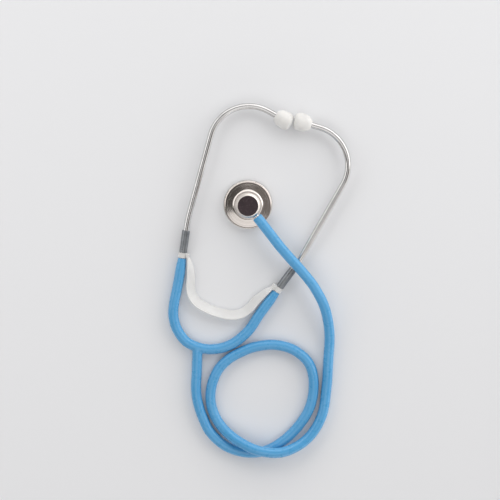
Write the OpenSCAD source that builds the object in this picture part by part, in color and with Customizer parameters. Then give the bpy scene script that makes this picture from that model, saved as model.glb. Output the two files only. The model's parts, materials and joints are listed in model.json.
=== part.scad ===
// Toy stethoscope, lying flat. The chestpiece rests on its diaphragm at the origin, and the
// headset, the three-way junction and the looped hose lie round it on the plane z = 0.

/* [Chestpiece] */
// Outside diameter of the retaining ring
ring_d = 36; // [32:0.5:44]
// Height of the retaining ring
ring_h = 4.6; // [4:0.1:5]
// Wall of the retaining ring
ring_wall = 0.8; // [0.6:0.1:1.4]
// Width of the ring's lip under the diaphragm
lip_w = 1.6; // [1.2:0.1:2.4]
// Thickness of the ring's lip
lip_t = 0.7; // [0.5:0.1:1]
// How far the diaphragm stands proud of the ring
face_proud = 0.35; // [0.2:0.05:0.6]
// Thickness of the diaphragm
diaphragm_t = 0.5; // [0.3:0.1:0.8]
// Thickness of the gasket
gasket_t = 0.65; // [0.4:0.05:1]
// Width of the gasket
gasket_w = 1.6; // [1.2:0.1:2.5]
// Thickness of the body's rim
rim_t = 2.8; // [2.4:0.1:4]
// Rise of the skirt from the rim to the hub
skirt_rise = 1.6; // [1:0.1:3]
// Depth of the hollow under the skirt
hollow_depth = 1.6; // [1:0.1:2.2]
// Diameter of the hub
hub_d = 19.2; // [18:0.2:22]
// Height of the hub above the skirt
hub_h = 8.8; // [8.8:0.1:12]
// Chamfer round the top of the hub
hub_chamfer = 2; // [1:0.1:2]
// Fillet round the foot of the hub
hub_fillet = 2; // [0.5:0.1:2.2]
// Width of the hub's flat top round the hub cap
cap_land = 0.25; // [0.2:0.05:1]
// Depth of the hub cap's seat
cap_t = 1.2; // [0.8:0.1:1.5]
// Diameter of the sound passage
sound_d = 2.6; // [2:0.1:3]
// Direction in which the nipple leaves the hub
stem_angle = -52; // [-60:1:-45]

/* [Hose] */
// Outside diameter of the hose
hose_d = 7.5; // [7:0.1:8]
// Length of the hose end on the chestpiece nipple
stem_end_l = 13.4; // [12:0.1:16]
// Length of the hose end on a tube foot
arm_end_l = 12; // [10:0.5:14]
// Diameter of an arm hose end at its mouth
arm_mouth_d = 5.9; // [5.6:0.1:7]
// Length of the taper to that mouth
arm_taper = 8; // [4:0.5:9]
// Length of each leg of the junction, from its centre
junction_leg = 9; // [8:0.5:10]

/* [Ear tubes] */
// Outside diameter of the ear tubes and the nipple
tube_d = 4.4; // [4:0.1:4.8]
// Wall of the ear tubes and the nipple
tube_wall = 0.6; // [0.4:0.1:0.9]
// Length of the straight lower leg
lower_leg = 17.5; // [17:0.5:22]
// Radius of the gentle bend
gentle_r = 117; // [90:1:140]
// Angle of the gentle bend
gentle_a = 7; // [4:0.5:10]
// Length of the straight upper leg
upper_leg = 57; // [45:1:65]
// Radius of the crown bend
crown_r = 28.7; // [24:0.1:32]
// Angle of the crown bend
crown_a = 103; // [95:1:105]
// Length of the ear leg between the crown bend and the ear tip
ear_leg = 6.6; // [4:0.1:10]
// Outward lean of the lower legs
flare = 14; // [10:0.5:18]

/* [Ferrules] */
// Outside diameter of a ferrule
ferrule_d = 5.7; // [5.4:0.1:6.2]
// Length of a ferrule
ferrule_l = 16.5; // [12:0.5:17]

/* [Ear tips] */
// Largest diameter of an ear tip
tip_d = 13; // [11:0.5:15]
// Length of an ear tip
tip_l = 13; // [12:0.1:16]
// Diameter of an ear tip's neck
tip_neck_d = 6.8; // [6.4:0.1:8]
// Depth of an ear tip's socket
tip_socket = 6.6; // [5:0.1:9]
// Diameter of an ear tip's sound hole
tip_hole_d = 2.4; // [1.6:0.1:3]
// Gap between the two ear tips at rest
tip_gap = 1; // [0.8:0.1:3]

/* [Spring strap] */
// Depth of the strap below the tube feet
strap_depth = 33.3; // [30:0.5:36]
// How far the strap's belly lies inside the tube feet
strap_inset = 12.3; // [11.8:0.1:15]
// Width of the strap at its belly
strap_w = 8.4; // [7:0.1:8.6]
// Width of the strap at its eyes
strap_end_w = 6; // [5:0.1:6.4]
// Thickness of the strap
strap_t = 1.3; // [1:0.1:1.6]
// Tilt of the strap's section at its belly
strap_tilt = 42; // [35:1:45]
// Length of a strap eye along the tube
eye_l = 3.6; // [3:0.1:4.5]
// Wall of a strap eye
eye_wall = 1; // [0.9:0.05:1.5]

/* [Lay] */
// Place of the headset's middle, along X
headset_x = -12.2; // [-14:0.1:-10]
// Place of the headset's middle, along Y
headset_y = -48; // [-50:0.1:-46]
// Turn of the headset on the surface
headset_turn = -22.4; // [-24:0.1:-20]
// How much further along the right side lies than the left
lay_slip = 3.3; // [0:0.1:4]
// Place of the junction's centre, along X
junction_x = -37.6; // [-39:0.1:-36]
// Place of the junction's centre, along Y
junction_y = -106.6; // [-108.5:0.1:-104.5]

/* [Hidden] */
$fn = 64;

left = -1;
right = 1;
running = 0.05;
play = 0.3;
over = 1;

hose_colour = "#4f9fcf";
tube_colour = "#c6d0d6";
ferrule_colour = "#9aa0a4";
tip_colour = "#f4f4f0";
strap_colour = [0.9, 0.9, 0.89, 0.6];
body_colour = "#8f8781";
ring_colour = "#d8d6d2";
cap_colour = "#2e2628";
diaphragm_colour = "#e6e4da";
gasket_colour = "#3a3a3a";

// Chestpiece: radii and heights, stacked from the diaphragm's face up
ring_r = ring_d / 2;
ring_inner_r = ring_r - ring_wall;
ring_top = face_proud + ring_h;
ring_edge = 0.4;
lip_r = ring_inner_r - lip_w;
lip_top = face_proud + lip_t;
flange_r = ring_inner_r - play;
flange_z = lip_top + running;
dish_r = lip_r - play;
gasket_z = flange_z + diaphragm_t;
rim_r = ring_inner_r - running;
rim_z = gasket_z + gasket_t;
rim_top = rim_z + rim_t;
hollow_r = flange_r - gasket_w;
skirt_top = rim_top + skirt_rise;
hub_r = hub_d / 2;
hub_top = skirt_top + hub_h;
cap_seat_z = hub_top - cap_t;
cap_hole_r = hub_r - hub_chamfer - cap_land;
cap_r = cap_hole_r - running;
cap_proud = 0.15;
cap_edge = 0.25;
sound_r = sound_d / 2;
hose_r = hose_d / 2;
hose_lift = 0.65;
nipple_z = skirt_top + hose_r + hose_lift;
nipple_root = 3;
stem_end_start = hub_r + hub_fillet / 2;
stem_end_stop = stem_end_start + stem_end_l;
nipple_reach = stem_end_stop - over;

// Ear tubes: headings from the headset's middle line, and the run from a foot to the face of its tip
heading_up = flare - gentle_a;
heading_ear = heading_up - crown_a;
run_x = lower_leg * sin(flare) + gentle_r * (cos(heading_up) - cos(flare)) + upper_leg * sin(heading_up)
    + crown_r * (cos(heading_ear) - cos(heading_up)) + (ear_leg + tip_l) * sin(heading_ear);
run_y = lower_leg * cos(flare) + gentle_r * (sin(flare) - sin(heading_up)) + upper_leg * cos(heading_up)
    + crown_r * (sin(heading_up) - sin(heading_ear)) + (ear_leg + tip_l) * cos(heading_ear);
foot_x = tip_gap / 2 - run_x;
tube_bore = tube_d - 2 * tube_wall;
bend_draw = 0.02;
hose_bore = tube_d + 2 * running;
tip_insert = tip_socket - play;
tip_r = tip_d / 2;

// Stack below a tube foot, measured down the lower leg
eye_top = play;
eye_bottom = eye_top + eye_l;
arm_end_top = eye_bottom + play;
arm_end_bottom = arm_end_top + arm_end_l;
spigot_l = arm_end_bottom - 2;
hose_lip = 0.6;
mouth_lip = 0.3;

// Lay of the headset: its hose ends and its tips stay just above the surface
floor_gap = 0.2;
tip_floor_gap = 0.05;
lay_rise = tip_r + tip_floor_gap - hose_r - floor_gap;
lay_tilt = asin(lay_rise / (run_y + arm_end_bottom * cos(flare)));
foot_z = hose_r + floor_gap + (arm_end_bottom * cos(flare) + lay_slip / 2) * sin(lay_tilt);

// Strap: a half route in shares of its depth and its belly, then the inner side of the eye
eye_r = hose_bore / 2 + eye_wall;
eye_middle = (eye_top + eye_bottom) / 2;
strap_reach = eye_r + strap_t / 2;
strap_belly = foot_x - strap_inset;
strap_end = [
    foot_x - eye_middle * sin(flare) - strap_reach * cos(flare),
    -eye_middle * cos(flare) + strap_reach * sin(flare)
];
strap_shares = [[0, -1], [0.47, -0.96], [0.74, -0.85], [0.9, -0.68], [1, -0.46]];
strap_arc = [for (s = strap_shares) [s[0] * strap_belly, s[1] * strap_depth]];
strap_shoulder = strap_arc[len(strap_arc) - 1];
strap_neck_share = 0.4;
strap_neck_tuck = [-1.2, -1.2];
strap_neck = strap_shoulder * strap_neck_share + strap_end * (1 - strap_neck_share) + strap_neck_tuck;
strap_half = concat(strap_arc, [strap_neck, strap_end]);
strap_steps = 3;
strap_edge = 0.35;
strap_sag = strap_w / 2 * sin(strap_tilt) + strap_t / 2 * cos(strap_tilt) + floor_gap;
strap_lift = max(0, strap_sag - foot_z + strap_depth * sin(lay_tilt));

// Junction: directions of the legs to the left arm, the right arm and the stem
junction_centre = [junction_x, junction_y, hose_r];
leg_root = 0.5;
leg_draft = 0.08;
leg_angles = [147, -3, -90];

// Hose routes: x, y and height above the lying hose, chosen by hand
left_arm_bends = [
    [-52.3, -63, 0], [-54.3, -72.5, 0], [-55, -81, 0], [-53.4, -89.3, 0], [-49.9, -96.2, 0]
];
right_arm_bends = [
    [7.6, -82.3, 0], [2, -91.2, 0], [-4.3, -97.8, 0], [-11.5, -103, 0], [-19.8, -106.2, 0]
];
stem_bends = [
    [-37.9, -125, 0], [-38.4, -135, 0], [-37.4, -145.3, 0], [-33.7, -157.5, 0], [-27.6, -169.6, 0],
    [-15.7, -180, 0], [0, -184.5, 0], [16, -182, 0], [32, -170.5, 0], [44.5, -153.5, 0], [48.6, -135, 0],
    [45.5, -118.5, 0], [34.5, -108, 0], [20, -103.8, 0], [5.2, -105.3, 0], [-5.1, -109.2, 0],
    [-13.7, -114, 0], [-21, -121, 0], [-25.8, -130.6, 0], [-27.7, -140.5, 0], [-27, -149.5, 0],
    [-23.5, -158.8, 0.2], [-17, -167.5, 1.5], [-6.5, -175.3, 5.2], [9, -181.8, 8.3], [27, -182.5, 6.8],
    [44, -173.5, 2.6], [54.5, -157, 0.4], [58, -136, 0], [59.3, -115, 0.3], [60, -95, 1.6],
    [56.5, -76, 5.8], [49.2, -61, 8], [40.5, -49.5, 8], [25, -32, 7.3]
];
hose_sides = 10;
arm_steps = 1;
stem_steps = 2;

function unit(v) = v / norm(v);
function heading(a) = [cos(a), sin(a), 0];
function turned(p, a) = [p[0] * cos(a) - p[1] * sin(a), p[0] * sin(a) + p[1] * cos(a), p[2]];
function lying(p) = [p[0], p[1] * cos(lay_tilt), p[1] * sin(lay_tilt)];
function in_headset(p) = turned(lying(p), headset_turn);
function foot_point(side, s) = [headset_x, headset_y, foot_z]
    + in_headset([side * (foot_x + s * sin(flare)), side * lay_slip / 2 + s * cos(flare)]);
function foot_heading(side) = in_headset([side * sin(flare), cos(flare)]);
function leg_end(i) = junction_centre + junction_leg * heading(leg_angles[i]);
function on_surface(bends) = [for (b = bends) [b[0], b[1], hose_r + b[2]]];

left_arm_route = concat(
    [foot_point(left, -arm_end_bottom)], on_surface(left_arm_bends), [leg_end(0)]
);
right_arm_route = concat(
    [foot_point(right, -arm_end_bottom)], on_surface(right_arm_bends), [leg_end(1)]
);
stem_stop = stem_end_stop * heading(stem_angle) + [0, 0, nipple_z];
stem_route = concat([leg_end(2)], on_surface(stem_bends), [stem_stop]);

// Catmull-Rom spline through the points of a route, with its ends led on along two headings
function spline(a, b, c, d, t) = 0.5 * (2 * b + (c - a) * t + (2 * a - 5 * b + 4 * c - d) * t * t
    + (3 * b - a - 3 * c + d) * t * t * t);
function led_on(p, from, to) = let (n = len(p) - 1) concat(
    [p[0] - from * norm(p[1] - p[0])], p, [p[n] + to * norm(p[n] - p[n - 1])]
);
function smooth(p, from, to, steps) = let (q = led_on(p, from, to), n = len(p) - 1) concat(
    [for (i = [0:n - 1], k = [0:steps - 1]) spline(q[i], q[i + 1], q[i + 2], q[i + 3], k / steps)],
    [p[n]]
);
function tangents(c, from, to) = let (n = len(c) - 1)
    [for (i = [0:n]) i == 0 ? from : i == n ? to : unit(c[i + 1] - c[i - 1])];
function ring_round(c, along, r) = let (out = unit(cross(along, [0, 0, 1])), up = cross(out, along))
    [for (k = [0:hose_sides - 1]) c + r * (out * cos(360 * k / hose_sides) + up * sin(360 * k / hose_sides))];
function joined(lists) = [for (l = lists) each l];
function quad(a, b, c, d) = [[a, b, c], [a, c, d]];

// Least gap of the stem hose to itself, past the reach of one bend
gap_steps = 4;
gap_apart = 4 * gap_steps;
stem_line = smooth(stem_route, heading(leg_angles[2]), -heading(stem_angle), gap_steps);
stem_last = len(stem_line) - 1;
stem_self_gap = min([
    for (i = [0:stem_last - gap_apart], j = [i + gap_apart:stem_last]) norm(stem_line[i] - stem_line[j])
]) - hose_d;
echo(stem_self_gap = stem_self_gap);

module swept_hose(route, from, to, steps) {
    line = smooth(route, from, to, steps);
    along = tangents(line, from, to);
    n = len(line);
    s = hose_sides;
    outer = joined([for (i = [0:n - 1]) ring_round(line[i], along[i], hose_r)]);
    inner = joined([for (i = [0:n - 1]) ring_round(line[i], along[i], hose_bore / 2)]);
    h = n * s;
    last = (n - 1) * s;
    walls = [
        for (i = [0:n - 2], k = [0:s - 1]) let (a = i * s + k, b = i * s + (k + 1) % s)
            concat(quad(a, b, b + s, a + s), quad(h + a, h + a + s, h + b + s, h + b))
    ];
    caps = [
        for (k = [0:s - 1]) let (m = (k + 1) % s)
            concat(quad(m, k, h + k, h + m), quad(last + k, last + m, h + last + m, h + last + k))
    ];
    polyhedron(concat(outer, inner), concat(joined(walls), joined(caps)));
}

module headset() {
    translate([headset_x, headset_y, foot_z]) rotate([0, 0, headset_turn]) rotate([lay_tilt, 0, 0]) children();
}

// Stands a lower leg on +Z at its foot, with the outward side along +X
module on_foot(side) {
    headset() mirror([side < 0 ? 1 : 0, 0, 0]) translate([foot_x, side * lay_slip / 2, 0])
        rotate([0, 0, -flare]) rotate([-90, 0, 0]) children();
}

module past_bend(r, a) {
    translate([-r, 0, 0]) rotate([0, -a, 0]) translate([r, 0, 0]) children();
}

// Bend of a rod, drawn a hair thinner than its straight legs
module bent_rod(r, a, d) {
    translate([-r, 0, 0]) rotate([90, 0, 0]) rotate_extrude(angle = a) translate([r, 0])
        circle(d = d - bend_draw);
}

module past_tube() {
    translate([0, 0, lower_leg]) past_bend(gentle_r, gentle_a)
        translate([0, 0, upper_leg]) past_bend(crown_r, crown_a)
        translate([0, 0, ear_leg]) children();
}

module tube_rod(d, extra) {
    translate([0, 0, -spigot_l - extra]) cylinder(d = d, h = spigot_l + extra + lower_leg);
    translate([0, 0, lower_leg]) {
        bent_rod(gentle_r, gentle_a, d);
        past_bend(gentle_r, gentle_a) {
            cylinder(d = d, h = upper_leg);
            translate([0, 0, upper_leg]) {
                bent_rod(crown_r, crown_a, d);
                past_bend(crown_r, crown_a) cylinder(d = d, h = ear_leg + tip_insert + extra);
            }
        }
    }
}

module ear_tube(side) {
    color(tube_colour) on_foot(side) difference() {
        tube_rod(tube_d, 0);
        tube_rod(tube_bore, over);
    }
}

module ferrule(side) {
    edge = 0.3;
    color(ferrule_colour) on_foot(side) rotate_extrude() polygon([
        [tube_d / 2, 0], [ferrule_d / 2 - edge, 0], [ferrule_d / 2, edge],
        [ferrule_d / 2, ferrule_l - edge], [ferrule_d / 2 - edge, ferrule_l], [tube_d / 2, ferrule_l]
    ]);
}

function bezier(a, b, c, d, t) = a * pow(1 - t, 3) + 3 * b * t * pow(1 - t, 2) + 3 * c * t * t * (1 - t)
    + d * pow(t, 3);

// Ear tip: a flared neck, a full crown and a flattish face with the sound hole
tip_neck_r = tip_neck_d / 2;
tip_face_r = tip_r * 0.5;
tip_widest = tip_l * 0.6;
tip_flank = [
    for (t = [0:0.125:1]) bezier(
        [tip_neck_r, 0], [tip_neck_r + 1.2, tip_l * 0.1], [tip_r, tip_l * 0.24], [tip_r, tip_widest], t
    )
];
tip_dome = [
    for (t = [0.125:0.125:1]) bezier(
        [tip_r, tip_widest], [tip_r, tip_l * 0.88], [tip_face_r * 1.6, tip_l], [tip_face_r, tip_l], t
    )
];

module ear_tip(side) {
    color(tip_colour) on_foot(side) past_tube() rotate_extrude() polygon(concat(
        [[hose_bore / 2, 0]], tip_flank, tip_dome,
        [[tip_hole_d / 2, tip_l], [tip_hole_d / 2, tip_socket], [hose_bore / 2, tip_socket]]
    ));
}

function strap_slip(p) = [p[0], p[1] + lay_slip / 2 * p[0] / foot_x, strap_lift];
function strap_lean(u) = strap_tilt + (90 - strap_tilt) * pow(abs(u), 6);
function strap_breadth(u) = strap_w + (strap_end_w - strap_w) * pow(abs(u), 6);

// Outline of the strap's section across its width w, with eased corners
function strap_section(w) = [
    [w / 2 - strap_edge, strap_t / 2], [strap_edge - w / 2, strap_t / 2],
    [-w / 2, strap_t / 2 - strap_edge], [-w / 2, strap_edge - strap_t / 2],
    [strap_edge - w / 2, -strap_t / 2], [w / 2 - strap_edge, -strap_t / 2],
    [w / 2, strap_edge - strap_t / 2], [w / 2, strap_t / 2 - strap_edge]
];

module strap_band() {
    last = len(strap_half) - 1;
    half = [for (p = strap_half) strap_slip(p)];
    other = [for (i = [last:-1:1]) strap_slip([-strap_half[i][0], strap_half[i][1]])];
    route = concat(other, half);
    line = smooth(route, unit(route[1] - route[0]), unit(half[last] - half[last - 1]), strap_steps);
    n = len(line);
    along = tangents(line, unit(line[1] - line[0]), unit(line[n - 1] - line[n - 2]));
    section = [for (i = [0:n - 1]) strap_section(strap_breadth(2 * i / (n - 1) - 1))];
    s = len(section[0]);
    points = joined([
        for (i = [0:n - 1]) let (
            outward = unit(cross(along[i], [0, 0, 1])),
            lean = strap_lean(2 * i / (n - 1) - 1),
            wide = outward * cos(lean) + [0, 0, sin(lean)],
            thick = cross(wide, along[i])
        ) [for (q = section[i]) line[i] + wide * q[0] + thick * q[1]]
    ]);
    walls = [
        for (i = [0:n - 2], k = [0:s - 1]) let (a = i * s + k, b = i * s + (k + 1) % s) quad(a, b, b + s, a + s)
    ];
    caps = [
        for (k = [1:s - 2]) [[0, k + 1, k], [(n - 1) * s, (n - 1) * s + k, (n - 1) * s + k + 1]]
    ];
    polyhedron(points, concat(joined(walls), joined(caps)));
}

module strap_eye(side) {
    tab_w = strap_end_w - 0.4;
    on_foot(side) translate([0, 0, -eye_bottom]) difference() {
        union() {
            cylinder(r = eye_r, h = eye_l);
            translate([-strap_reach - strap_t / 2, -tab_w / 2, 0]) cube([strap_reach, tab_w, eye_l]);
        }
        translate([0, 0, -over]) cylinder(d = hose_bore, h = eye_l + 2 * over);
    }
}

module spring_strap() {
    color(strap_colour) {
        headset() strap_band();
        for (side = [left, right]) strap_eye(side);
    }
}

// Sleeve of hose from z = 0 to l, with the given outline of its open end
module hose_sleeve(l, mouth) {
    rotate_extrude() polygon(concat([[hose_bore / 2, 0], [hose_r, 0]], mouth, [[hose_bore / 2, l]]));
}

module arm_hose_end(side) {
    mouth_r = arm_mouth_d / 2;
    color(hose_colour) on_foot(side) translate([0, 0, -arm_end_bottom]) hose_sleeve(arm_end_l, [
        [hose_r, arm_end_l - arm_taper], [mouth_r, arm_end_l - mouth_lip], [mouth_r - mouth_lip, arm_end_l]
    ]);
}

module left_arm_hose() {
    color(hose_colour)
        swept_hose(left_arm_route, -foot_heading(left), -heading(leg_angles[0]), arm_steps);
}

module right_arm_hose() {
    color(hose_colour)
        swept_hose(right_arm_route, -foot_heading(right), -heading(leg_angles[1]), arm_steps);
}

module stem_hose() {
    color(hose_colour) swept_hose(stem_route, heading(leg_angles[2]), -heading(stem_angle), stem_steps);
}

module along_leg(a) {
    rotate([0, 0, a]) rotate([0, 90, 0]) children();
}

// Legs of the junction as rods from just past its centre, each a hair thinner than the one before
module junction_rods(d, past, reach) {
    for (i = [0:len(leg_angles) - 1]) along_leg(leg_angles[i]) translate([0, 0, -past])
        cylinder(d = d - i * leg_draft, h = reach + past);
}

module y_junction() {
    color(hose_colour) translate(junction_centre) difference() {
        junction_rods(hose_d, leg_root, junction_leg);
        junction_rods(hose_bore, leg_root / 2, junction_leg + over);
    }
}

// Stands a piece's +Z along the nipple, from the chestpiece's middle line
module on_nipple() {
    translate([0, 0, nipple_z]) along_leg(stem_angle) children();
}

module stem_hose_end() {
    color(hose_colour) on_nipple() translate([0, 0, stem_end_stop]) mirror([0, 0, 1])
        hose_sleeve(stem_end_l, [[hose_r, stem_end_l - hose_lip], [hose_r - hose_lip, stem_end_l]]);
}

module chestpiece_stem() {
    color(tube_colour) on_nipple() translate([0, 0, nipple_root]) difference() {
        cylinder(d = tube_d, h = nipple_reach - nipple_root);
        translate([0, 0, -over]) cylinder(d = sound_d, h = nipple_reach - nipple_root + 2 * over);
    }
}

module chestpiece_body() {
    fillet = [
        for (a = [0:15:90]) [hub_r + hub_fillet * (1 - sin(a)), skirt_top + hub_fillet * (1 - cos(a))]
    ];
    color(body_colour) difference() {
        rotate_extrude($fn = 128) polygon(concat(
            [[sound_r, rim_z + hollow_depth], [hollow_r, rim_z], [rim_r, rim_z], [rim_r, rim_top - ring_edge],
                [rim_r - ring_edge, rim_top]],
            fillet,
            [[hub_r, hub_top - hub_chamfer], [hub_r - hub_chamfer, hub_top], [cap_hole_r, hub_top],
                [cap_hole_r, cap_seat_z], [0, cap_seat_z], [0, nipple_z], [sound_r, nipple_z]]
        ));
        on_nipple() cylinder(d = sound_d, h = hub_d);
        on_nipple() translate([0, 0, nipple_root]) cylinder(d = tube_d, h = hub_d);
    }
}

module hub_cap() {
    top = hub_top + cap_proud;
    color(cap_colour) rotate_extrude($fn = 128) polygon([
        [0, cap_seat_z], [cap_r, cap_seat_z], [cap_r, top - cap_edge], [cap_r - cap_edge, top], [0, top]
    ]);
}

module diaphragm() {
    color(diaphragm_colour) rotate_extrude($fn = 128) polygon([
        [0, 0], [dish_r, 0], [dish_r, flange_z], [flange_r, flange_z], [flange_r, gasket_z],
        [dish_r - diaphragm_t, gasket_z], [dish_r - diaphragm_t, diaphragm_t], [0, diaphragm_t]
    ]);
}

module diaphragm_gasket() {
    color(gasket_colour) rotate_extrude($fn = 128) polygon([
        [hollow_r, gasket_z], [flange_r, gasket_z], [flange_r, rim_z], [hollow_r, rim_z]
    ]);
}

module retaining_ring() {
    color(ring_colour) rotate_extrude($fn = 128) polygon([
        [lip_r, face_proud], [ring_r - ring_edge, face_proud], [ring_r, face_proud + ring_edge],
        [ring_r, ring_top - ring_edge], [ring_r - ring_edge, ring_top], [ring_inner_r, ring_top],
        [ring_inner_r, lip_top], [lip_r, lip_top]
    ]);
}

ear_tip(left);  // left_ear_tip
ear_tip(right);  // right_ear_tip
ear_tube(left);  // left_ear_tube
ear_tube(right);  // right_ear_tube
ferrule(left);  // left_ferrule
ferrule(right);  // right_ferrule
spring_strap();
arm_hose_end(left);  // left_hose_end
arm_hose_end(right);  // right_hose_end
left_arm_hose();
right_arm_hose();
y_junction();
stem_hose();
stem_hose_end();
chestpiece_body();
chestpiece_stem();
hub_cap();
diaphragm();
diaphragm_gasket();
retaining_ring();
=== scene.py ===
# Toy stethoscope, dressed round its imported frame: hoses, strap, ear tips, turned metal and finishes.
import json
import math

import bmesh
import bpy
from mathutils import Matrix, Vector


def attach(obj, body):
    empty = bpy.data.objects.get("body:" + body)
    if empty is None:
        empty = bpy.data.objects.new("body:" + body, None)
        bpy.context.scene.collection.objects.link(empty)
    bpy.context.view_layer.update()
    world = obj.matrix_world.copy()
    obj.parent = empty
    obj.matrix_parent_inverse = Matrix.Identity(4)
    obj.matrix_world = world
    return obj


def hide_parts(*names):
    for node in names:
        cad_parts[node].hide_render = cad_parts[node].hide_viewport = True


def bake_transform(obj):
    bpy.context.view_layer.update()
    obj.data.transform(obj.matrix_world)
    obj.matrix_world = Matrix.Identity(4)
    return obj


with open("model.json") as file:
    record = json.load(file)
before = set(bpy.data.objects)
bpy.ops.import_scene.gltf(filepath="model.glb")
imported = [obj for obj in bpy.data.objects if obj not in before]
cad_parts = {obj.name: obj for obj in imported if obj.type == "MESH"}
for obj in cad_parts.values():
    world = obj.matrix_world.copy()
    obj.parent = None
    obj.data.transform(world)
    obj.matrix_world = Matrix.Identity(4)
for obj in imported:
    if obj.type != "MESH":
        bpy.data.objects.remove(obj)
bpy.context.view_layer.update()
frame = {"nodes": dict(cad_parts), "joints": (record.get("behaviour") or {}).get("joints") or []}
nodes = frame["nodes"]
joints = {joint["name"]: joint for joint in frame["joints"]}

MM = 0.001
UP = Vector((0, 0, 1))
ORIGIN = Vector((0, 0, 0))
SIDES = ("left", "right")

# Sizes shared with the solids, in metres
FIT_GAP = 0.05 * MM
HOSE_R = 3.75 * MM
HOSE_BORE_R = 2.25 * MM
TUBE_R = 2.2 * MM
EYE_TOP = 0.3 * MM
EYE_LENGTH = 3.6 * MM
EYE_R = 3.25 * MM
ARM_END_LENGTH = 12 * MM
ARM_END_BOTTOM = 16.2 * MM
ARM_MOUTH_R = 2.95 * MM
ARM_TAPER = 8 * MM
FERRULE_R = 2.85 * MM
FERRULE_LENGTH = 16.5 * MM
STEM_END_START = 10.6 * MM
STEM_END_STOP = 24 * MM
JUNCTION = Vector((-0.0376, -0.1066, HOSE_R))
JUNCTION_LEG = 9 * MM
LEG_ANGLES = {"left": 147, "right": -3, "stem": -90}

# Hose routes: x, y and height above the lying hose, in metres
LEFT_ARM_BENDS = (
    (-0.0523, -0.063, 0), (-0.0543, -0.0725, 0), (-0.055, -0.081, 0), (-0.0534, -0.0893, 0),
    (-0.0499, -0.0962, 0),
)
RIGHT_ARM_BENDS = (
    (0.0076, -0.0823, 0), (0.002, -0.0912, 0), (-0.0043, -0.0978, 0), (-0.0115, -0.103, 0),
    (-0.0198, -0.1062, 0),
)
STEM_BENDS = (
    (-0.0379, -0.125, 0), (-0.0384, -0.135, 0), (-0.0374, -0.1453, 0), (-0.0337, -0.1575, 0),
    (-0.0276, -0.1696, 0), (-0.0157, -0.18, 0), (0, -0.1845, 0), (0.016, -0.182, 0),
    (0.032, -0.1705, 0), (0.0445, -0.1535, 0), (0.0486, -0.135, 0), (0.0455, -0.1185, 0),
    (0.0345, -0.108, 0), (0.02, -0.1038, 0), (0.0052, -0.1053, 0), (-0.0051, -0.1092, 0),
    (-0.0137, -0.114, 0), (-0.021, -0.121, 0), (-0.0258, -0.1306, 0), (-0.0277, -0.1405, 0),
    (-0.027, -0.1495, 0), (-0.0235, -0.1588, 0.0002), (-0.017, -0.1675, 0.0015),
    (-0.0065, -0.1753, 0.0052), (0.009, -0.1818, 0.0083), (0.027, -0.1825, 0.0068),
    (0.044, -0.1735, 0.0026), (0.0545, -0.157, 0.0004), (0.058, -0.136, 0), (0.0593, -0.115, 0.0003),
    (0.06, -0.095, 0.0016), (0.0565, -0.076, 0.0058), (0.0492, -0.061, 0.008), (0.0405, -0.0495, 0.008),
    (0.025, -0.032, 0.0073),
)


# Lines and headings
def heading(degrees):
    angle = math.radians(degrees)
    return Vector((math.cos(angle), math.sin(angle), 0))


def joint_point(name):
    return Vector(joints[name]["pos_m"])


def joint_axis(name):
    return Vector(joints[name]["axis"]).normalized()


def leg_end(leg):
    return JUNCTION + JUNCTION_LEG * heading(LEG_ANGLES[leg])


def spline_point(a, b, c, d, t):
    return 0.5 * (
        2 * b + (c - a) * t + (2 * a - 5 * b + 4 * c - d) * t * t + (3 * b - a - 3 * c + d) * t ** 3
    )


def smooth_route(points, start_along, stop_along, steps):
    """Catmull-Rom line through the points, led on along a heading at each end."""
    first = points[0] - start_along * (points[1] - points[0]).length
    last = points[-1] + stop_along * (points[-1] - points[-2]).length
    led = [first, *points, last]
    line = []
    for i in range(len(points) - 1):
        for k in range(steps):
            line.append(spline_point(led[i], led[i + 1], led[i + 2], led[i + 3], k / steps))
    line.append(points[-1])
    return line


def line_headings(line, start_along, stop_along):
    along = [(after - before).normalized() for before, after in zip(line, line[2:])]
    return [start_along.normalized(), *along, stop_along.normalized()]


def bezier(a, b, c, d, steps):
    points = []
    for k in range(steps + 1):
        t = k / steps
        points.append(a * (1 - t) ** 3 + 3 * b * t * (1 - t) ** 2 + 3 * c * t * t * (1 - t) + d * t ** 3)
    return points


def eased(profile, radius, steps=5):
    """An open profile with each of its inner corners rounded."""
    points = [Vector(p) for p in profile]
    result = [points[0]]
    for before, corner, after in zip(points, points[1:], points[2:]):
        reach_in = min(radius, (before - corner).length / 2)
        reach_out = min(radius, (after - corner).length / 2)
        a = corner + (before - corner).normalized() * reach_in
        b = corner + (after - corner).normalized() * reach_out
        for k in range(steps + 1):
            t = k / steps
            result.append(a * (1 - t) ** 2 + 2 * corner * t * (1 - t) + b * t * t)
    result.append(points[-1])
    return result


# Meshes
MERGE_GAP = 1e-7


def new_piece(name, mesh, sharp_angle=40):
    mesh.shade_smooth()
    mesh.set_sharp_from_angle(angle=math.radians(sharp_angle))
    piece = bpy.data.objects.new(name, mesh)
    bpy.context.scene.collection.objects.link(piece)
    return piece


def tidy_mesh(mesh):
    work = bmesh.new()
    work.from_mesh(mesh)
    bmesh.ops.remove_doubles(work, verts=work.verts, dist=MERGE_GAP)
    bmesh.ops.recalc_face_normals(work, faces=work.faces)
    work.to_mesh(mesh)
    work.free()


def skinned_rings(name, rings, capped=(True, True)):
    """Mesh over a row of rings of points, each ring closed on itself, with or without end faces."""
    count = len(rings[0])
    points = [p for ring in rings for p in ring]
    faces = []
    for i in range(len(rings) - 1):
        for k in range(count):
            a = i * count + k
            b = i * count + (k + 1) % count
            faces.append((a, b, b + count, a + count))
    last = (len(rings) - 1) * count
    if capped[0]:
        faces.append(tuple(range(count))[::-1])
    if capped[1]:
        faces.append(tuple(range(last, last + count)))
    mesh = bpy.data.meshes.new(name)
    mesh.from_pydata(points, [], faces)
    tidy_mesh(mesh)
    return new_piece(name, mesh)


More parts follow.
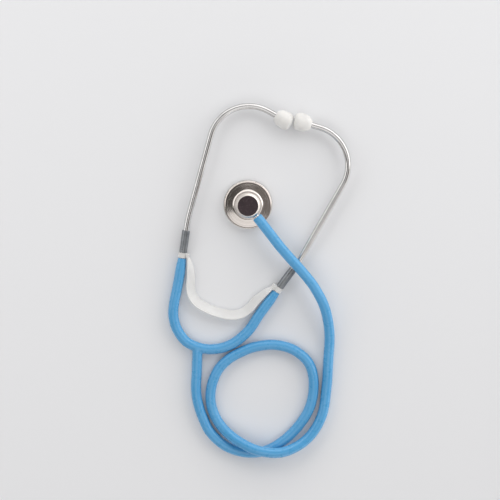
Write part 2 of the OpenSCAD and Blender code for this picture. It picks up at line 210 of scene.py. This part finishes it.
def round_ring(centre, along, radius, sides):
    out = along.cross(UP).normalized()
    up = out.cross(along)
    ring = []
    for k in range(sides):
        angle = 2 * math.pi * k / sides
        ring.append(centre + radius * (math.cos(angle) * out + math.sin(angle) * up))
    return ring


def lathe(name, profile, origin, axis, segments, closed=False):
    """Revolves (radius, height) points about an axis. A closed profile is joined back to its start."""
    axis = axis.normalized()
    side = axis.orthogonal().normalized()
    other = axis.cross(side)
    rows = [Vector(p) for p in profile]
    points = []
    for row in rows:
        for k in range(segments):
            angle = 2 * math.pi * k / segments
            spoke = math.cos(angle) * side + math.sin(angle) * other
            points.append(origin + spoke * row[0] + axis * row[1])
    faces = []
    spans = len(rows) if closed else len(rows) - 1
    for i in range(spans):
        low = i * segments
        high = (i + 1) % len(rows) * segments
        for k in range(segments):
            m = (k + 1) % segments
            faces.append((low + k, low + m, high + m, high + k))
    mesh = bpy.data.meshes.new(name)
    mesh.from_pydata(points, [], faces)
    tidy_mesh(mesh)
    return new_piece(name, mesh)


def apply_modifiers(piece):
    graph = bpy.context.evaluated_depsgraph_get()
    mesh = bpy.data.meshes.new_from_object(piece.evaluated_get(graph))
    piece.modifiers.clear()
    piece.data = mesh
    mesh.shade_smooth()


# Headset frame, from its joints: the middle between the feet, across, along and out of its plane
FEET = {side: joint_point(f"{side}_ear_turn") for side in SIDES}
LEGS = {side: joint_axis(f"{side}_ear_turn") for side in SIDES}
HEADSET = (FEET["left"] + FEET["right"]) / 2
HEADSET_ALONG = (LEGS["left"] + LEGS["right"]).normalized()
HEADSET_OUT = joint_axis("left_spread")
HEADSET_ACROSS = HEADSET_ALONG.cross(HEADSET_OUT).normalized()
CHEST_AXIS = joint_axis("chestpiece_turn")
CHEST_HUB = joint_point("chestpiece_turn")


def in_headset(x, y, z=0.0):
    return HEADSET + HEADSET_ACROSS * x + HEADSET_ALONG * y + HEADSET_OUT * z


# Camera, straight down with a slight lean towards the ear tips
VIEW_CENTRE = Vector((1.5 * MM, -33.4 * MM, 4 * MM))
VIEW_WIDTH = 367 * MM
VIEW_DISTANCE = 1.5
VIEW_LEAN = 6
VIEW_REACH = 10
SENSOR = 36.0


def make_camera():
    lens = bpy.data.cameras.new("camera")
    lens.sensor_width = SENSOR
    lens.lens = SENSOR * VIEW_DISTANCE / VIEW_WIDTH
    lens.clip_end = VIEW_REACH
    camera = bpy.data.objects.new("camera", lens)
    lean = math.radians(VIEW_LEAN)
    camera.location = VIEW_CENTRE + VIEW_DISTANCE * Vector((0, math.sin(lean), math.cos(lean)))
    camera.rotation_euler = (-lean, 0, 0)
    bpy.context.scene.collection.objects.link(camera)
    bpy.context.scene.camera = camera


make_camera()


# Node helpers for the materials, with the span of a noise and the rings of turned metal
NOISE_LOW = 0.3
NOISE_HIGH = 0.7
TURNED_DETAIL = 4
TURNED_RINGS = 2600
TURNED_GLOSS = 900
TURNED_RELIEF = (0.03 * MM, 0.6)


def new_material(name):
    material = bpy.data.materials.new(name)
    material.use_nodes = True
    tree = material.node_tree
    return material, tree, tree.nodes["Principled BSDF"]


def set_inputs(shader, values):
    for name, value in values.items():
        shader.inputs[name].default_value = value


def linear(red, green, blue):
    """A screen colour, 0 to 255 on the sRGB curve, as the linear colour that a shader takes."""
    shares = [c / 255 for c in (red, green, blue)]
    return tuple(s / 12.92 if s <= 0.04045 else ((s + 0.055) / 1.055) ** 2.4 for s in shares) + (1.0,)


def object_noise(tree, scale, detail):
    place = tree.nodes.new("ShaderNodeTexCoord")
    noise = tree.nodes.new("ShaderNodeTexNoise")
    set_inputs(noise, {"Scale": scale, "Detail": detail})
    tree.links.new(place.outputs["Object"], noise.inputs["Vector"])
    return noise.outputs["Fac"]


def radius_rings(tree, scale):
    """Fine uneven rings about the Z axis through the origin."""
    place = tree.nodes.new("ShaderNodeTexCoord")
    flat = tree.nodes.new("ShaderNodeVectorMath")
    flat.operation = "MULTIPLY"
    flat.inputs[1].default_value = (1, 1, 0)
    length = tree.nodes.new("ShaderNodeVectorMath")
    length.operation = "LENGTH"
    noise = tree.nodes.new("ShaderNodeTexNoise")
    noise.noise_dimensions = "1D"
    set_inputs(noise, {"Scale": scale, "Detail": TURNED_DETAIL})
    tree.links.new(place.outputs["Object"], flat.inputs[0])
    tree.links.new(flat.outputs["Vector"], length.inputs[0])
    tree.links.new(length.outputs["Value"], noise.inputs["W"])
    return noise.outputs["Fac"]


def ramp(tree, value, stops):
    node = tree.nodes.new("ShaderNodeValToRGB")
    element = node.color_ramp.elements
    while len(element) < len(stops):
        element.new(0.5)
    for spot, (place, colour) in zip(element, stops):
        spot.position = place
        spot.color = colour
    tree.links.new(value, node.inputs["Fac"])
    return node.outputs["Color"]


def tint(tree, shader, value, dark, light):
    colour = ramp(tree, value, [(NOISE_LOW, linear(*dark)), (NOISE_HIGH, linear(*light))])
    tree.links.new(colour, shader.inputs["Base Color"])


def map_range(tree, value, start, stop, low, high):
    node = tree.nodes.new("ShaderNodeMapRange")
    set_inputs(node, {"From Min": start, "From Max": stop, "To Min": low, "To Max": high})
    tree.links.new(value, node.inputs["Value"])
    return node.outputs["Result"]


def spread_input(tree, shader, name, value, low, high):
    result = map_range(tree, value, NOISE_LOW, NOISE_HIGH, low, high)
    tree.links.new(result, shader.inputs[name])


def bump(tree, shader, height, depth, strength):
    node = tree.nodes.new("ShaderNodeBump")
    set_inputs(node, {"Distance": depth, "Strength": strength})
    tree.links.new(height, node.inputs["Height"])
    tree.links.new(node.outputs["Normal"], shader.inputs["Normal"])


def mottled_material(name, dark, light, rough, cloud, gloss, grain, relief, **inputs):
    """A finish with a clouded colour, uneven roughness and a fine grain.

    cloud, gloss and grain give the scale and detail of a noise, and relief the grain's depth and strength.
    """
    material, tree, shader = new_material(name)
    tint(tree, shader, object_noise(tree, *cloud), dark, light)
    spread_input(tree, shader, "Roughness", object_noise(tree, *gloss), *rough)
    bump(tree, shader, object_noise(tree, *grain), *relief)
    set_inputs(shader, {key.replace("_", " "): value for key, value in inputs.items()})
    return material


def turned_material(name, dark, light, rough, anisotropic):
    """Lathe-turned metal, with fine rings in its colour, gloss and grain."""
    material, tree, shader = new_material(name)
    rings = radius_rings(tree, TURNED_RINGS)
    tint(tree, shader, rings, dark, light)
    spread_input(tree, shader, "Roughness", radius_rings(tree, TURNED_GLOSS), *rough)
    set_inputs(shader, {"Metallic": 1, "Anisotropic": anisotropic})
    tangent = tree.nodes.new("ShaderNodeTangent")
    tangent.direction_type = "RADIAL"
    tangent.axis = "Z"
    tree.links.new(tangent.outputs["Tangent"], shader.inputs["Tangent"])
    bump(tree, shader, rings, *TURNED_RELIEF)
    return material


def see_through(material, facing, edge):
    """Thins the material where it faces the eye and keeps it dense at its edges."""
    tree = material.node_tree
    weight = tree.nodes.new("ShaderNodeLayerWeight")
    spread_input(tree, tree.nodes["Principled BSDF"], "Alpha", weight.outputs["Facing"], facing, edge)


HOSE = mottled_material(
    "hose_vinyl", (72, 153, 204), (79, 158, 208), rough=(0.24, 0.36), cloud=(55, 3), gloss=(240, 3),
    grain=(420, 2), relief=(0.03 * MM, 0.25), Coat_Weight=0.35, Coat_Roughness=0.15,
)
TUBE = mottled_material(
    "tube_chrome", (198, 197, 196), (211, 210, 209), rough=(0.05, 0.14), cloud=(120, 3), gloss=(700, 4),
    grain=(300, 2), relief=(0.03 * MM, 0.4), Metallic=1,
)
FERRULE = mottled_material(
    "ferrule_steel", (118, 122, 126), (142, 145, 148), rough=(0.26, 0.42), cloud=(260, 5), gloss=(900, 4),
    grain=(1500, 3), relief=(0.03 * MM, 0.5), Metallic=1,
)
TIP = mottled_material(
    "ear_tip_soft", (218, 217, 215), (228, 227, 224), rough=(0.34, 0.48), cloud=(180, 3), gloss=(500, 3),
    grain=(1400, 2), relief=(0.03 * MM, 0.4), Subsurface_Weight=0.3, Subsurface_Radius=(1.0, 0.9, 0.8),
    Subsurface_Scale=1.5 * MM,
)
STRAP = mottled_material(
    "strap_milky", (238, 237, 235), (245, 245, 243), rough=(0.12, 0.2), cloud=(90, 3), gloss=(400, 3),
    grain=(160, 2), relief=(0.04 * MM, 0.3),
)
see_through(STRAP, facing=0.58, edge=0.95)
CHEST = turned_material("chest_turned", (196, 188, 182), (220, 214, 209), rough=(0.1, 0.2), anisotropic=0.5)
RING = turned_material("ring_polished", (214, 210, 206), (232, 229, 226), rough=(0.1, 0.2), anisotropic=0.4)
CAP = mottled_material(
    "cap_dark", (42, 30, 34), (56, 42, 46), rough=(0.18, 0.3), cloud=(240, 4), gloss=(700, 3),
    grain=(900, 2), relief=(0.02 * MM, 0.4), Specular_IOR_Level=0.25, Coat_Weight=0.15, Coat_Roughness=0.08,
)
DIAPHRAGM = mottled_material(
    "diaphragm_plate", (226, 223, 212), (236, 234, 224), rough=(0.28, 0.4), cloud=(140, 3), gloss=(600, 3),
    grain=(1100, 2), relief=(0.03 * MM, 0.4),
)
GASKET = mottled_material(
    "gasket_rubber", (48, 48, 48), (62, 62, 62), rough=(0.7, 0.7), cloud=(300, 3), gloss=(300, 3),
    grain=(1200, 2), relief=(0.04 * MM, 0.5),
)


def finish_piece(piece, material, replaced, body=None):
    piece.data.materials.append(material)
    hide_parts(*replaced)
    if body:
        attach(piece, body)


def dress_node(name, material):
    for slot in nodes[name].material_slots:
        slot.material = material


# Hoses: smooth tubes along the same routes as the solids
HOSE_SIDES = 48
HOSE_STEPS = 16


def route_of(start, bends, stop):
    return [start] + [Vector((x, y, HOSE_R + lift)) for x, y, lift in bends] + [stop]


def hose_rings(line, along):
    return [round_ring(c, a, HOSE_R, HOSE_SIDES) for c, a in zip(line, along)]


def make_hose(name, route, start_along, stop_along):
    line = smooth_route(route, start_along, stop_along, HOSE_STEPS)
    along = line_headings(line, start_along, stop_along)
    return skinned_rings(name, hose_rings(line, along)), line


def make_arm(side, bends):
    start = FEET[side] - LEGS[side] * ARM_END_BOTTOM
    stop = leg_end(side)
    route = route_of(start, bends, stop)
    piece, line = make_hose(f"{side}_arm_vinyl", route, -LEGS[side], -heading(LEG_ANGLES[side]))
    finish_piece(piece, HOSE, [f"{side}_arm_hose"])
    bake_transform(piece)


make_arm("left", LEFT_ARM_BENDS)
make_arm("right", RIGHT_ARM_BENDS)
stem_stop = CHEST_HUB + CHEST_AXIS * STEM_END_STOP
stem_route = route_of(leg_end("stem"), STEM_BENDS, stem_stop)
stem_piece, stem_line = make_hose("stem_vinyl", stem_route, heading(LEG_ANGLES["stem"]), -CHEST_AXIS)
finish_piece(stem_piece, HOSE, ["stem_hose"], "tubing")


# Moulded hose ends, with a rounded lip at the open end
HOSE_LIP = 1.1 * MM
HOSE_LIP_STEPS = 8
SLEEVE_SEGMENTS = 64
ARM_WAIST_SHARE = 0.55
ARM_WAIST_INSET = 0.35 * MM
ARM_RIM = 0.3 * MM
ARM_MOUTH = [
    (HOSE_R, ARM_END_LENGTH - ARM_TAPER),
    (HOSE_R - ARM_WAIST_INSET, ARM_END_LENGTH - ARM_WAIST_SHARE * ARM_TAPER),
    (ARM_MOUTH_R, ARM_END_LENGTH - ARM_RIM),
    (ARM_MOUTH_R - ARM_RIM, ARM_END_LENGTH),
]
STEM_END_LENGTH = STEM_END_STOP - STEM_END_START
STEM_MOUTH = [(HOSE_R, STEM_END_LENGTH)]


def make_hose_end(name, start, axis, length, mouth, node, body):
    outside = [(HOSE_R, 0)] + mouth + [(HOSE_BORE_R, length)]
    profile = [Vector((HOSE_BORE_R, 0))] + eased(outside, HOSE_LIP, HOSE_LIP_STEPS)
    piece = lathe(name, profile, start, axis, SLEEVE_SEGMENTS, closed=True)
    finish_piece(piece, HOSE, [node], body)


for side in SIDES:
    make_hose_end(
        f"{side}_hose_sleeve", FEET[side] - LEGS[side] * ARM_END_BOTTOM, LEGS[side], ARM_END_LENGTH,
        ARM_MOUTH, f"{side}_hose_end", f"{side}_arm",
    )
make_hose_end(
    "stem_hose_sleeve", stem_stop, -CHEST_AXIS, STEM_END_LENGTH, STEM_MOUTH, "stem_hose_end", "tubing"
)


# Junction: a curved run between the arms and a leg for the stem, melted into one moulding
JUNCTION_TUCK = 2 * MM
JUNCTION_STEPS = 16
MELT_VOXEL = 0.35 * MM
MELT_PASSES = 14
MELT_FACTOR = 0.5


def make_junction():
    ways = {leg: heading(angle) for leg, angle in LEG_ANGLES.items()}
    first = leg_end("left")
    last = leg_end("right")
    run = [first + ways["left"] * JUNCTION_TUCK]
    for k in range(JUNCTION_STEPS + 1):
        t = k / JUNCTION_STEPS
        run.append(first * (1 - t) ** 2 + 2 * JUNCTION * t * (1 - t) + last * t * t)
    run.append(last + ways["right"] * JUNCTION_TUCK)
    run_along = line_headings(run, -ways["left"], ways["right"])
    stem = [run[len(run) // 2], leg_end("stem") + ways["stem"] * JUNCTION_TUCK]
    stem_along = [ways["stem"], ways["stem"]]
    work = bmesh.new()
    for line, along in ((run, run_along), (stem, stem_along)):
        leg = skinned_rings("leg", hose_rings(line, along))
        work.from_mesh(leg.data)
        bpy.data.objects.remove(leg)
    mesh = bpy.data.meshes.new("junction_moulding")
    work.to_mesh(mesh)
    work.free()
    piece = new_piece("junction_moulding", mesh)
    remesh = piece.modifiers.new("melt", "REMESH")
    remesh.mode = "VOXEL"
    remesh.voxel_size = MELT_VOXEL
    even = piece.modifiers.new("even", "SMOOTH")
    even.iterations = MELT_PASSES
    even.factor = MELT_FACTOR
    apply_modifiers(piece)
    finish_piece(piece, HOSE, ["y_junction"], "tubing")


make_junction()


# Spring strap: a tilted band, swept along its U, one half on each arm
STRAP_DEPTH = 33.3 * MM
STRAP_INSET = 12.3 * MM
STRAP_W = 8.4 * MM
STRAP_END_W = 6 * MM
STRAP_T = 1.3 * MM
STRAP_TILT = 42
STRAP_TWIST_POWER = 6
STRAP_SHARES = ((0, -1), (0.47, -0.96), (0.74, -0.85), (0.9, -0.68), (1, -0.46))
STRAP_NECK_SHARE = 0.4
STRAP_NECK_TUCK = Vector((-1.2 * MM, -1.2 * MM, 0))
STRAP_STEPS = 10
STRAP_EDGE_STEPS = 8
STRAP_SHARP_ANGLE = 35
STRAP_REACH = EYE_R + STRAP_T / 2
EYE_MIDDLE = EYE_TOP + EYE_LENGTH / 2
EYE_EASE = 0.35 * MM
EYE_SEGMENTS = 64
EYE_EASE_STEPS = 4
TAB_HEIGHT = STRAP_END_W - 0.4 * MM
TAB_DEPTH = STRAP_T + 0.9 * MM
TAB_LENGTH = EYE_LENGTH * 0.98
TAB_SINK = 0.2 * MM
TAB_BEVEL = 0.45 * MM
TAB_BEVEL_STEPS = 3
LEG_FLARE = math.acos(max(-1, min(1, LEGS["right"].dot(HEADSET_ALONG))))
LAY_SLIP = (FEET["right"] - FEET["left"]).dot(HEADSET_ALONG)
FOOT_X = (FEET["right"] - FEET["left"]).dot(HEADSET_ACROSS) / 2


def strap_half_route():
    end = Vector((
        FOOT_X - EYE_MIDDLE * math.sin(LEG_FLARE) - STRAP_REACH * math.cos(LEG_FLARE),
        -EYE_MIDDLE * math.cos(LEG_FLARE) + STRAP_REACH * math.sin(LEG_FLARE), 0,
    ))
    belly = FOOT_X - STRAP_INSET
    body = [Vector((x * belly, y * STRAP_DEPTH, 0)) for x, y in STRAP_SHARES]
    neck = body[-1] * STRAP_NECK_SHARE + end * (1 - STRAP_NECK_SHARE) + STRAP_NECK_TUCK
    return body + [neck, end]


def strap_section(width):
    """Outline of the band's section, with round edges."""
    half = width / 2 - STRAP_T / 2
    outline = []
    for middle, first in ((half, -90), (-half, 90)):
        for k in range(STRAP_EDGE_STEPS + 1):
            angle = math.radians(first + 180 * k / STRAP_EDGE_STEPS)
            outline.append((middle + STRAP_T / 2 * math.cos(angle), STRAP_T / 2 * math.sin(angle)))
    return outline


def strap_rings():
    half = strap_half_route()
    route = [Vector((-p.x, p.y, 0)) for p in reversed(half[1:])] + half
    route = [Vector((p.x, p.y + LAY_SLIP / 2 * p.x / FOOT_X, 0)) for p in route]
    start = (route[1] - route[0]).normalized()
    stop = (route[-1] - route[-2]).normalized()
    line = smooth_route(route, start, stop, STRAP_STEPS)
    along = line_headings(line, start, stop)
    rings = []
    for i, (c, a) in enumerate(zip(line, along)):
        share = abs(2 * i / (len(line) - 1) - 1) ** STRAP_TWIST_POWER
        lean = math.radians(STRAP_TILT + (90 - STRAP_TILT) * share)
        outward = a.cross(UP).normalized()
        wide = outward * math.cos(lean) + UP * math.sin(lean)
        thick = wide.cross(a)
        section = strap_section(STRAP_W + (STRAP_END_W - STRAP_W) * share)
        ring = [c + wide * w + thick * t for w, t in section]
        rings.append([in_headset(p.x, p.y, p.z) for p in ring])
    return rings


def make_eye(side, sign):
    """Eye ring of the strap with its tab, as one mesh in place."""
    foot = FEET[side]
    leg = LEGS[side]
    inside = TUBE_R + FIT_GAP
    wall = [(inside, 0), (EYE_R, 0), (EYE_R, EYE_LENGTH), (inside, EYE_LENGTH)]
    profile = eased(wall + wall[:1], EYE_EASE, EYE_EASE_STEPS)[1:]
    bottom = foot - leg * (EYE_TOP + EYE_LENGTH)
    eye = lathe(f"eye_{side}", profile, bottom, leg, EYE_SEGMENTS, closed=True)
    inward = HEADSET_OUT.cross(leg).normalized() * sign
    middle = foot - leg * EYE_MIDDLE + inward * (EYE_R + STRAP_T / 2 - TAB_SINK)
    work = bmesh.new()
    work.from_mesh(eye.data)
    bpy.data.objects.remove(eye)
    tab = bmesh.ops.create_cube(work, size=1)["verts"]
    for v in tab:
        x, y, z = v.co
        v.co = middle + inward * x * TAB_DEPTH + leg * y * TAB_LENGTH + HEADSET_OUT * z * TAB_HEIGHT
    edges = [e for e in work.edges if e.verts[0] in tab and e.verts[1] in tab]
    bmesh.ops.bevel(work, geom=edges, offset=TAB_BEVEL, segments=TAB_BEVEL_STEPS, affect="EDGES", profile=0.5)
    return work


def make_strap():
    rings = strap_rings()
    middle = len(rings) // 2
    halves = (("left", -1, rings[: middle + 1]), ("right", 1, rings[middle:]))
    for side, sign, part in halves:
        band = skinned_rings(f"strap_{side}", part, (side == "left", side == "right"))
        work = make_eye(side, sign)
        work.from_mesh(band.data)
        mesh = bpy.data.meshes.new(f"strap_{side}_half")
        work.to_mesh(mesh)
        work.free()
        bpy.data.objects.remove(band)
        piece = new_piece(f"strap_{side}_half", mesh, STRAP_SHARP_ANGLE)
        finish_piece(piece, STRAP, ["spring_strap"])
        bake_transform(piece)


make_strap()


# Ferrules: sleeves with rolled edges
FERRULE_EDGE = 0.45 * MM
FERRULE_GRIP = 0.02 * MM


def make_ferrule(side):
    inside = TUBE_R - FERRULE_GRIP
    wall = [(inside, 0), (FERRULE_R, 0), (FERRULE_R, FERRULE_LENGTH), (inside, FERRULE_LENGTH)]
    profile = eased(wall, FERRULE_EDGE)
    piece = lathe(f"{side}_sleeve", profile, FEET[side], LEGS[side], SLEEVE_SEGMENTS, closed=True)
    finish_piece(piece, FERRULE, [f"{side}_ferrule"], f"{side}_ear")


# Ear tips: a flared neck, a full crown and a flattish face with the sound hole
TIP_R = 6.5 * MM
TIP_LENGTH = 13 * MM
TIP_WIDEST = TIP_LENGTH * 0.6
TIP_FACE_R = TIP_R * 0.5
TIP_NECK_R = 3.4 * MM
TIP_NECK_FLARE = 1.2 * MM
TIP_NECK_LIP = 0.25 * MM
TIP_NECK_WALL = 0.3 * MM
TIP_HOLE_R = 1.2 * MM
TIP_HOLE_EASE = 0.5 * MM
TIP_SOCKET = 6.6 * MM
TIP_SEGMENTS = 96

# Reach of the curves of the tip, as shares of its length, and of its face
TIP_NECK_PULL = 0.1
TIP_FLANK_PULL = 0.24
TIP_DOME_PULL = 0.88
TIP_FACE_PULL = 1.6
TIP_FLANK_STEPS = 20
TIP_DOME_STEPS = 16


def make_tip(side):
    flank = bezier(
        Vector((TIP_NECK_R, TIP_NECK_LIP)),
        Vector((TIP_NECK_R + TIP_NECK_FLARE, TIP_LENGTH * TIP_NECK_PULL)),
        Vector((TIP_R, TIP_LENGTH * TIP_FLANK_PULL)), Vector((TIP_R, TIP_WIDEST)), TIP_FLANK_STEPS,
    )
    dome = bezier(
        Vector((TIP_R, TIP_WIDEST)), Vector((TIP_R, TIP_LENGTH * TIP_DOME_PULL)),
        Vector((TIP_FACE_R * TIP_FACE_PULL, TIP_LENGTH)), Vector((TIP_FACE_R, TIP_LENGTH)), TIP_DOME_STEPS,
    )
    hole = eased(
        [(TIP_FACE_R, TIP_LENGTH), (TIP_HOLE_R, TIP_LENGTH), (TIP_HOLE_R, TIP_SOCKET)], TIP_HOLE_EASE
    )
    socket = [Vector((TUBE_R + FIT_GAP, TIP_SOCKET)), Vector((TUBE_R + FIT_GAP, 0))]
    lip = [Vector((TIP_NECK_R - TIP_NECK_WALL, 0))]
    profile = flank + dome[1:] + hole[1:] + socket + lip
    base = joint_point(f"{side}_tip_turn")
    axis = joint_axis(f"{side}_tip_turn")
    piece = lathe(f"{side}_soft_tip", profile, base, axis, TIP_SEGMENTS, closed=True)
    finish_piece(piece, TIP, [f"{side}_ear_tip"], f"{side}_tip")


for side in SIDES:
    make_ferrule(side)
    make_tip(side)
    dress_node(f"{side}_ear_tube", TUBE)


# Chestpiece: turned body, screw ring and cap, revolved with eased edges
RING_R = 18 * MM
RING_INNER_R = 17.2 * MM
RING_LIP_R = 15.6 * MM
RING_BOTTOM = 0.35 * MM
RING_TOP = 4.95 * MM
RING_BEVEL = 0.65 * MM
RING_EASE = 0.12 * MM
RING_EASE_STEPS = 3
LIP_TOP = 1.05 * MM
RIM_R = 17.15 * MM
RIM_Z = 2.25 * MM
RIM_TOP = 5.05 * MM
RIM_INSET = 0.45 * MM
RIM_DROP = 0.35 * MM
HOLLOW_R = 15.3 * MM
HOLLOW_TOP = 3.85 * MM
SKIRT_TOP = 6.65 * MM
SKIRT_SHARES = (0, 0.04, 0.1, 0.5, 0.9, 1)
HUB_R = 9.6 * MM
HUB_TOP = 15.45 * MM
HUB_CHAMFER = 2 * MM
HUB_EASE = 1.1 * MM
HUB_EASE_STEPS = 8
HUB_FILLET = 2 * MM
FILLET_LEAD = 1.1 * MM
FILLET_RISE = 0.45
FILLET_STEPS = 12
CAP_R = 7.3 * MM
CAP_SEAT = 14.25 * MM
CAP_TOP = 15.6 * MM
CAP_EASE = 0.3 * MM
CAP_FLAT_SHARE = 0.6
TURNED_SEGMENTS = 160
CAP_SEGMENTS = 128


def make_chest_body():
    foot_r = HUB_R + HUB_FILLET
    skirt_edge = Vector((RIM_R - RIM_INSET, RIM_TOP))
    skirt_foot = Vector((foot_r, SKIRT_TOP))
    skirt = [skirt_edge.lerp(skirt_foot, share) for share in SKIRT_SHARES]
    slope = (SKIRT_TOP - RIM_TOP) / (foot_r - RIM_R + RIM_INSET)
    fillet_top = SKIRT_TOP + HUB_FILLET
    foot = bezier(
        skirt_foot, Vector((foot_r - FILLET_LEAD, SKIRT_TOP - FILLET_LEAD * slope)),
        Vector((HUB_R, SKIRT_TOP + FILLET_RISE * HUB_FILLET)), Vector((HUB_R, fillet_top)), FILLET_STEPS,
    )
    shoulder = Vector((HUB_R - HUB_CHAMFER / 2, HUB_TOP - HUB_CHAMFER / 2))
    hub = eased([(HUB_R, fillet_top), (HUB_R, HUB_TOP - HUB_CHAMFER), shoulder], HUB_EASE, HUB_EASE_STEPS)
    well_r = CAP_R + FIT_GAP
    well = eased(
        [shoulder, (HUB_R - HUB_CHAMFER, HUB_TOP), (well_r, HUB_TOP), (well_r, CAP_SEAT), (0, CAP_SEAT)],
        CAP_EASE,
    )
    under = [Vector((0, HOLLOW_TOP)), Vector((HOLLOW_R, RIM_Z)), Vector((RIM_R, RIM_Z))]
    rim = [Vector((RIM_R, RIM_TOP - RIM_DROP))]
    profile = under + rim + skirt + foot[1:] + hub[1:] + well[1:]
    piece = lathe("turned_body", profile, ORIGIN, UP, TURNED_SEGMENTS)
    finish_piece(piece, CHEST, ["chestpiece_body"], "chestpiece")


def make_ring():
    wall = [
        (RING_LIP_R, LIP_TOP), (RING_LIP_R, RING_BOTTOM), (RING_R, RING_BOTTOM),
        (RING_R, RING_TOP - RING_BEVEL), (RING_R - RING_BEVEL, RING_TOP),
        (RING_INNER_R, RING_TOP), (RING_INNER_R, LIP_TOP),
    ]
    profile = eased(wall, RING_EASE, RING_EASE_STEPS)
    piece = lathe("screw_ring", profile, ORIGIN, UP, TURNED_SEGMENTS, closed=True)
    finish_piece(piece, RING, ["retaining_ring"], "ring")


def make_cap():
    flat = (CAP_R * CAP_FLAT_SHARE, CAP_TOP)
    wall = [(0, CAP_SEAT), (CAP_R, CAP_SEAT), (CAP_R, CAP_TOP), flat, (0, CAP_TOP)]
    piece = lathe("dark_cap", eased(wall, CAP_EASE), ORIGIN, UP, CAP_SEGMENTS)
    finish_piece(piece, CAP, ["hub_cap"], "chestpiece")


make_chest_body()
make_ring()
make_cap()
dress_node("chestpiece_stem", TUBE)
dress_node("diaphragm", DIAPHRAGM)
dress_node("diaphragm_gasket", GASKET)


# Stage: pale floor, soft lamps and a plain sky
FLOOR_REACH = 4.0
FLOOR_DROP = 0.1 * MM
FLOOR_COLOUR = linear(231, 232, 234)
FLOOR_ROUGHNESS = 0.9
FLOOR_SHINE = 0.1

# Each lamp's name, place, size and power
LAMPS = (
    ("front", (-0.1, -0.7, 1.15), (1.5, 1), 4.6),
    ("left", (-0.9, 0.25, 0.6), (0.9, 0.6), 2.6),
    ("right", (0.9, 0.3, 0.6), (0.9, 0.6), 3.4),
    ("back", (0, 0.95, 0.7), (2, 0.8), 7.4),
)

# The sky by height, bright near the horizon and straight above, and its strength from left to right
SKY_STOPS = (
    (0.0, (2.1, 2.08, 2.06, 1)), (0.2, (1.6, 1.58, 1.56, 1)), (0.42, (0.3, 0.285, 0.28, 1)),
    (0.93, (0.14, 0.128, 0.12, 1)), (0.98, (1.0, 0.985, 0.98, 1)),
)
SKY_SPAN = (-0.5, 0.4)
SKY_STRENGTH = (0.5, 1.2)


def make_floor():
    mesh = bpy.data.meshes.new("floor")
    reach = FLOOR_REACH
    corners = [(-reach, -reach, 0), (reach, -reach, 0), (reach, reach, 0), (-reach, reach, 0)]
    mesh.from_pydata(corners, [], [(0, 1, 2, 3)])
    floor = bpy.data.objects.new("floor", mesh)
    bpy.context.scene.collection.objects.link(floor)
    material, tree, shader = new_material("floor_pale")
    finish = {"Base Color": FLOOR_COLOUR, "Roughness": FLOOR_ROUGHNESS, "Specular IOR Level": FLOOR_SHINE}
    set_inputs(shader, finish)
    mesh.materials.append(material)
    floor.location.z = -FLOOR_DROP


def make_lamp(name, place, size, power):
    lamp = bpy.data.lights.new(name, "AREA")
    lamp.shape = "RECTANGLE"
    lamp.size, lamp.size_y = size
    lamp.energy = power
    holder = bpy.data.objects.new(name, lamp)
    holder.location = place
    aim = VIEW_CENTRE - Vector(place)
    holder.rotation_euler = aim.to_track_quat("-Z", "Y").to_euler()
    bpy.context.scene.collection.objects.link(holder)


def make_sky():
    world = bpy.data.worlds.new("sky")
    bpy.context.scene.world = world
    world.use_nodes = True
    tree = world.node_tree
    back = tree.nodes["Background"]
    place = tree.nodes.new("ShaderNodeTexCoord")
    split = tree.nodes.new("ShaderNodeSeparateXYZ")
    tree.links.new(place.outputs["Generated"], split.inputs["Vector"])
    colour = ramp(tree, split.outputs["Z"], SKY_STOPS)
    strength = map_range(tree, split.outputs["X"], *SKY_SPAN, *SKY_STRENGTH)
    tree.links.new(colour, back.inputs["Color"])
    tree.links.new(strength, back.inputs["Strength"])


make_floor()
for lamp in LAMPS:
    make_lamp(*lamp)
make_sky()
bpy.context.scene.view_settings.view_transform = "Standard"
